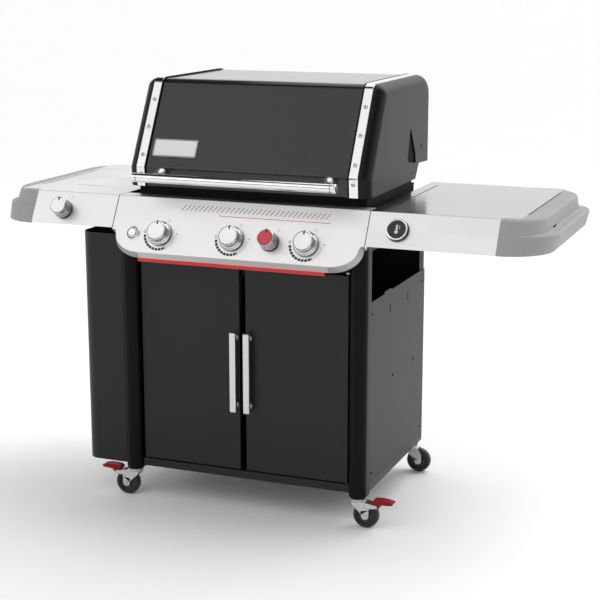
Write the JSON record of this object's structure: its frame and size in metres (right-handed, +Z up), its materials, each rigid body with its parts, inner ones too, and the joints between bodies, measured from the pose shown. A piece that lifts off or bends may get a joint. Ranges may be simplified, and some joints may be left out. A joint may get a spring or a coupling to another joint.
{
  "type": "gas barbecue grill",
  "caption": "Gas barbecue grill with a hinged lid, side tables, a lidded side burner, push-and-turn knobs and a cabinet cart with doors on braked casters.",
  "frame": {"origin": "on the ground, under the middle of the whole grill's outline", "axes": "+X to the right as seen from the front, +Y from front to back, +Z up; the knobs and doors face -Y"},
  "size_m": [1.72, 0.7084, 1.264],
  "materials": {
    "lid_enamel": "dark grey semi-gloss enamel",
    "cabinet_paint": "dark grey powder coat, semi-gloss",
    "frame_paint": "black powder coat, matt",
    "satin_steel": "pale satin stainless steel",
    "brushed_steel": "brushed stainless steel",
    "knob_metal": "satin metal cap",
    "knob_red": "red face, semi-gloss",
    "chrome": "polished",
    "black_casting": "cast aluminium with black heat-resistant paint",
    "cast_iron": "matt black enamel on cast iron",
    "cap_plastic": "fine-textured grey plastic",
    "black_plastic": "glossy black",
    "brake_red": "moulded red plastic",
    "zinc": "bright zinc plate",
    "tyre_rubber": "black, slightly worn"
  },
  "bodies": {
    "cart": {"post_front_left": "cabinet_paint", "post_front_right": "cabinet_paint", "rear_frame": "frame_paint", "base_shelf": "cabinet_paint", "side_panel_left": "cabinet_paint", "side_panel_right": "cabinet_paint", "header_rail": "frame_paint", "tank_shroud": "cabinet_paint", "tank_hanger": "zinc", "cookbox": "black_casting", "cooking_grate_left": "cast_iron", "cooking_grate_right": "cast_iron", "heat_deflector_1": "cast_iron", "heat_deflector_2": "cast_iron", "heat_deflector_3": "cast_iron", "burner_1": "brushed_steel", "burner_2": "brushed_steel", "burner_3": "brushed_steel", "sear_burner": "brushed_steel", "warming_rack": "chrome", "gas_manifold": "brushed_steel", "control_panel": "satin_steel", "left_table": "satin_steel", "side_burner_bowl": "brushed_steel", "side_burner_grate": "cast_iron", "right_table": "brushed_steel", "end_cap_left": "cap_plastic", "end_cap_right": "cap_plastic", "round_display": "black_plastic"},
    "lid": {"lid_shell": "lid_enamel", "lid_end_left": "lid_enamel", "lid_end_right": "lid_enamel", "lid_handle": "chrome"},
    "door_left": {"door_left": "cabinet_paint", "door_handle_left": "brushed_steel"},
    "door_right": {"door_right": "cabinet_paint", "door_handle_right": "brushed_steel"},
    "side_burner_lid": {"side_burner_lid": "satin_steel"},
    "grease_tray": {"grease_tray": "brushed_steel"},
    "burner_stem_1": {"burner_stem_1": "brushed_steel"},
    "burner_knob_1": {"burner_knob_1": "knob_metal"},
    "burner_stem_2": {"burner_stem_2": "brushed_steel"},
    "burner_knob_2": {"burner_knob_2": "knob_metal"},
    "sear_stem": {"sear_stem": "brushed_steel"},
    "sear_knob": {"sear_knob": "knob_red"},
    "burner_stem_3": {"burner_stem_3": "brushed_steel"},
    "burner_knob_3": {"burner_knob_3": "knob_metal"},
    "side_burner_stem": {"side_burner_stem": "brushed_steel"},
    "side_burner_knob": {"side_burner_knob": "knob_metal"},
    "igniter_button": {"igniter_button": "chrome"},
    "caster_front_left": {"caster_fork_front_left": "zinc"},
    "wheel_front_left": {"wheel_front_left": "tyre_rubber"},
    "brake_front_left": {"brake_lever_front_left": "brake_red"},
    "caster_front_right": {"caster_fork_front_right": "zinc"},
    "wheel_front_right": {"wheel_front_right": "tyre_rubber"},
    "brake_front_right": {"brake_lever_front_right": "brake_red"},
    "caster_rear_left": {"caster_fork_rear_left": "zinc"},
    "wheel_rear_left": {"wheel_rear_left": "tyre_rubber"},
    "caster_rear_right": {"caster_fork_rear_right": "zinc"},
    "wheel_rear_right": {"wheel_rear_right": "tyre_rubber"}
  },
  "joints": [
    {"name": "lid_hinge", "type": "hinge", "parent": "cart", "child": "lid", "pos_m": [-0.041, 0.258, 1.05], "axis": [-1, 0, 0], "range_deg": [0, 78]},
    {"name": "door_left_hinge", "type": "hinge", "parent": "cart", "child": "door_left", "pos_m": [-0.366, -0.262, 0.433], "axis": [0, 0, -1], "range_deg": [0, 100]},
    {"name": "door_right_hinge", "type": "hinge", "parent": "cart", "child": "door_right", "pos_m": [0.284, -0.262, 0.433], "axis": [0, 0, 1], "range_deg": [0, 100]},
    {"name": "side_burner_lid_hinge", "type": "hinge", "parent": "cart", "child": "side_burner_lid", "pos_m": [-0.62, 0.2365, 0.9288], "axis": [-1, 0, 0], "range_deg": [0, 90]},
    {"name": "grease_tray_slide", "type": "slide", "parent": "cart", "child": "grease_tray", "axis": [0, 1, 0], "range_m": [0, 0.3]},
    {"name": "burner_knob_1_push", "type": "slide", "parent": "cart", "child": "burner_stem_1", "axis": [0, 0.8706, -0.492], "range_m": [0, 0.003], "stiffness_N_per_m": 600, "springref_m": -0.003},
    {"name": "burner_knob_1_turn", "type": "hinge", "parent": "burner_stem_1", "child": "burner_knob_1", "pos_m": [-0.281, -0.3076, 0.83079], "axis": [0, -0.8706, 0.492], "range_deg": [0, 210]},
    {"name": "burner_knob_2_push", "type": "slide", "parent": "cart", "child": "burner_stem_2", "axis": [0, 0.8706, -0.492], "range_m": [0, 0.003], "stiffness_N_per_m": 600, "springref_m": -0.003},
    {"name": "burner_knob_2_turn", "type": "hinge", "parent": "burner_stem_2", "child": "burner_knob_2", "pos_m": [-0.053, -0.3076, 0.83079], "axis": [0, -0.8706, 0.492], "range_deg": [0, 210]},
    {"name": "sear_knob_push", "type": "slide", "parent": "cart", "child": "sear_stem", "axis": [0, 0.8706, -0.492], "range_m": [0, 0.003], "stiffness_N_per_m": 600, "springref_m": -0.003},
    {"name": "sear_knob_turn", "type": "hinge", "parent": "sear_stem", "child": "sear_knob", "pos_m": [0.065, -0.30809, 0.82992], "axis": [0, -0.8706, 0.492], "range_deg": [0, 90]},
    {"name": "burner_knob_3_push", "type": "slide", "parent": "cart", "child": "burner_stem_3", "axis": [0, 0.8706, -0.492], "range_m": [0, 0.003], "stiffness_N_per_m": 600, "springref_m": -0.003},
    {"name": "burner_knob_3_turn", "type": "hinge", "parent": "burner_stem_3", "child": "burner_knob_3", "pos_m": [0.175, -0.3076, 0.83079], "axis": [0, -0.8706, 0.492], "range_deg": [0, 210]},
    {"name": "side_burner_knob_push", "type": "slide", "parent": "cart", "child": "side_burner_stem", "axis": [0, 0.8706, -0.492], "range_m": [0, 0.003], "stiffness_N_per_m": 600, "springref_m": -0.003},
    {"name": "side_burner_knob_turn", "type": "hinge", "parent": "side_burner_stem", "child": "side_burner_knob", "pos_m": [-0.615, -0.28103, 0.8778], "axis": [0, -0.8706, 0.492], "range_deg": [0, 210]},
    {"name": "igniter_push", "type": "slide", "parent": "cart", "child": "igniter_button", "axis": [0, 0.8706, -0.492], "range_m": [0, 0.003], "stiffness_N_per_m": 600, "springref_m": -0.003},
    {"name": "caster_front_left_swivel", "type": "hinge", "parent": "cart", "child": "caster_front_left", "pos_m": [-0.402, -0.264, 0.09], "axis": [0, 0, 1], "continuous": true},
    {"name": "wheel_front_left_roll", "type": "hinge", "parent": "caster_front_left", "child": "wheel_front_left", "pos_m": [-0.429, -0.264, 0.038], "axis": [0, 1, 0], "continuous": true},
    {"name": "brake_front_left_tilt", "type": "hinge", "parent": "caster_front_left", "child": "brake_front_left", "pos_m": [-0.462, -0.264, 0.07], "axis": [0, -1, 0], "range_deg": [0, 12]},
    {"name": "caster_front_right_swivel", "type": "hinge", "parent": "cart", "child": "caster_front_right", "pos_m": [0.32, -0.264, 0.09], "axis": [0, 0, 1], "continuous": true},
    {"name": "wheel_front_right_roll", "type": "hinge", "parent": "caster_front_right", "child": "wheel_front_right", "pos_m": [0.347, -0.264, 0.038], "axis": [0, 1, 0], "continuous": true},
    {"name": "brake_front_right_tilt", "type": "hinge", "parent": "caster_front_right", "child": "brake_front_right", "pos_m": [0.38, -0.264, 0.07], "axis": [0, 1, 0], "range_deg": [0, 12]},
    {"name": "caster_rear_left_swivel", "type": "hinge", "parent": "cart", "child": "caster_rear_left", "pos_m": [-0.402, 0.257, 0.09], "axis": [0, 0, 1], "continuous": true},
    {"name": "wheel_rear_left_roll", "type": "hinge", "parent": "caster_rear_left", "child": "wheel_rear_left", "pos_m": [-0.429, 0.257, 0.038], "axis": [0, 1, 0], "continuous": true},
    {"name": "caster_rear_right_swivel", "type": "hinge", "parent": "cart", "child": "caster_rear_right", "pos_m": [0.32, 0.257, 0.09], "axis": [0, 0, 1], "continuous": true},
    {"name": "wheel_rear_right_roll", "type": "hinge", "parent": "caster_rear_right", "child": "wheel_rear_right", "pos_m": [0.347, 0.257, 0.038], "axis": [0, 1, 0], "continuous": true}
  ]
}
